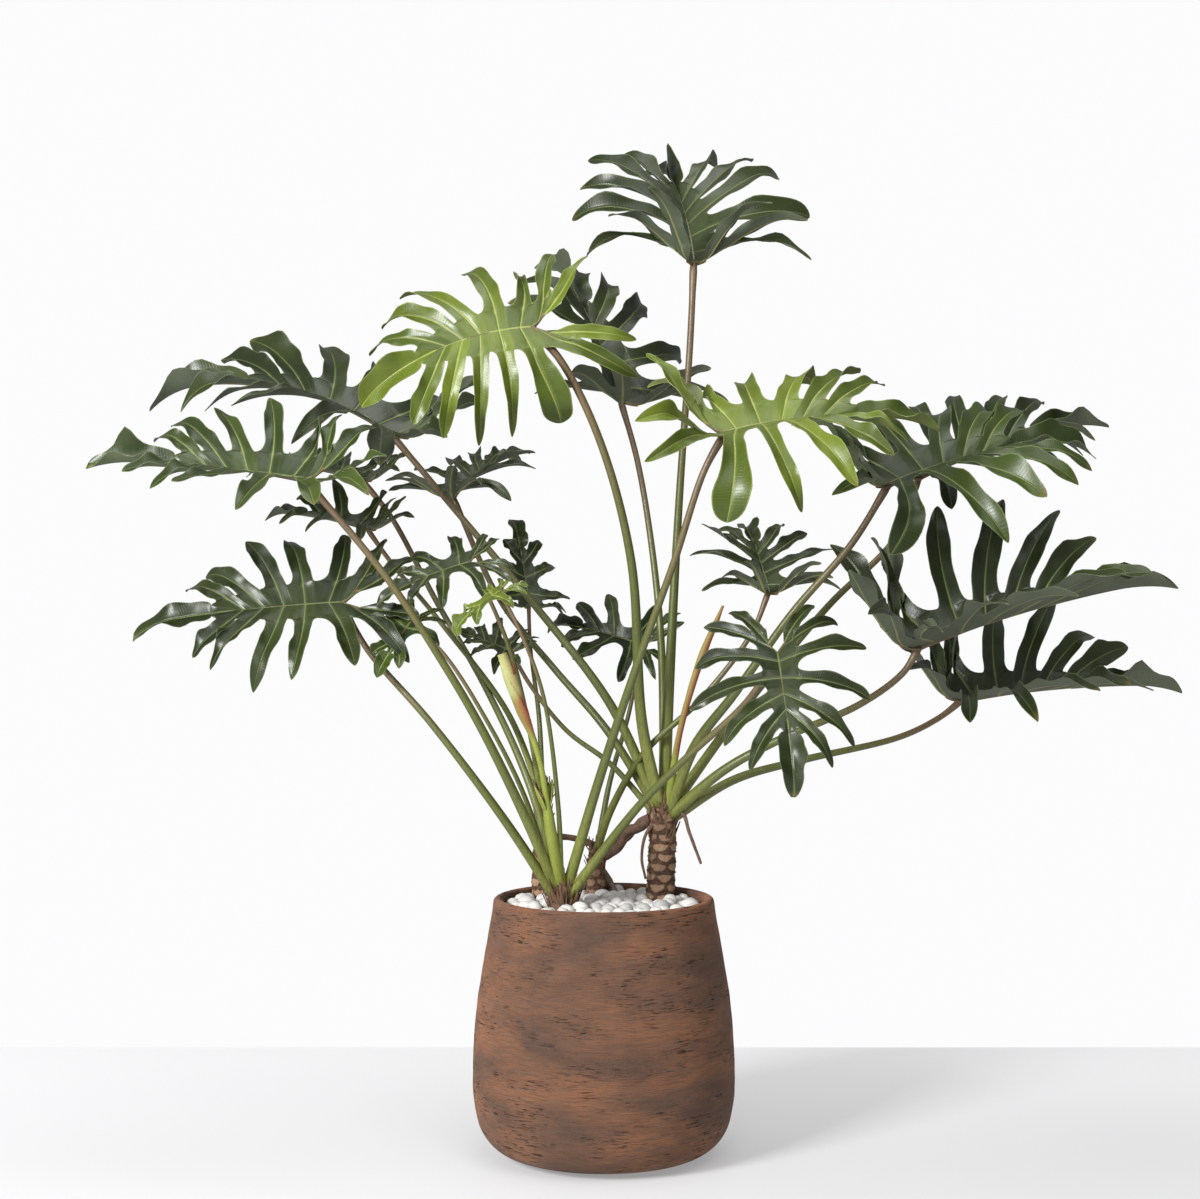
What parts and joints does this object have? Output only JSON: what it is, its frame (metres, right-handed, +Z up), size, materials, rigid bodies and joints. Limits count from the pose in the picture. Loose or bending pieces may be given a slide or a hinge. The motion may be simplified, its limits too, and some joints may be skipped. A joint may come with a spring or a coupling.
{
  "type": "potted xantal philodendron",
  "caption": "House plant with deeply lobed leaves on long arching stalks, rising from scarred trunks in a tapered round pot topped with white pebbles.",
  "frame": {"origin": "middle of the pot's flat underside, on the surface it stands on", "axes": "+Z up, the front of the plant towards -Y, +X to the right seen from the front"},
  "size_m": [1.4281, 0.5991, 1.3597],
  "materials": {
    "pot": "matt, pitted",
    "soil": "matt, crumbly",
    "pebbles": "matt, rounded",
    "bark": "matt, flaky, scarred",
    "roots": "matt, fibrous",
    "stalk": "satin",
    "young_shoot": "satin",
    "leaf_dark": "satin",
    "leaf_green": "satin",
    "leaf_lime": "satin"
  },
  "bodies": {
    "root": {"pot": "pot", "soil": "soil", "trunk_right": "bark", "trunk_left": "bark", "crown_front": "bark", "crown_back": "bark", "rhizome": "roots", "root_right": "roots", "root_left": "roots", "root_splay_left": "roots", "root_splay_right": "roots", "pebbles": "pebbles", "stalk_top": "stalk", "blade_top": "leaf_dark", "stalk_bright_left": "stalk", "blade_bright_left": "leaf_lime", "stalk_upper_back": "stalk", "blade_upper_back": "leaf_dark", "stalk_bright_centre": "stalk", "blade_bright_centre": "leaf_lime", "stalk_right_front": "stalk", "blade_right_front": "leaf_green", "stalk_right_back": "stalk", "blade_right_back": "leaf_dark", "stalk_far_right_upper": "stalk", "blade_far_right_upper": "leaf_dark", "stalk_far_right_lower": "stalk", "blade_far_right_lower": "leaf_dark", "stalk_facing": "stalk", "blade_facing": "leaf_dark", "stalk_mid_right": "stalk", "blade_mid_right": "leaf_dark", "stalk_left_upper": "stalk", "blade_left_upper": "leaf_green", "stalk_left_long": "stalk", "blade_left_long": "leaf_dark", "stalk_inner_left": "stalk", "blade_inner_left": "leaf_dark", "stalk_small_left": "stalk", "blade_small_left": "leaf_dark", "stalk_left_lower": "stalk", "blade_left_lower": "leaf_dark", "stalk_left_back": "stalk", "blade_left_back": "leaf_dark", "stalk_inner_olive": "stalk", "blade_inner_olive": "leaf_green", "stalk_inner_dark": "stalk", "blade_inner_dark": "leaf_dark", "stalk_inner_young": "stalk", "blade_inner_young": "leaf_lime", "stalk_inner_upright": "stalk", "blade_inner_upright": "leaf_dark", "stalk_inner_back": "stalk", "blade_inner_back": "leaf_dark", "stalk_inner_right": "stalk", "blade_inner_right": "leaf_dark", "bud": "young_shoot", "spear": "young_shoot"}
  },
  "joints": []
}
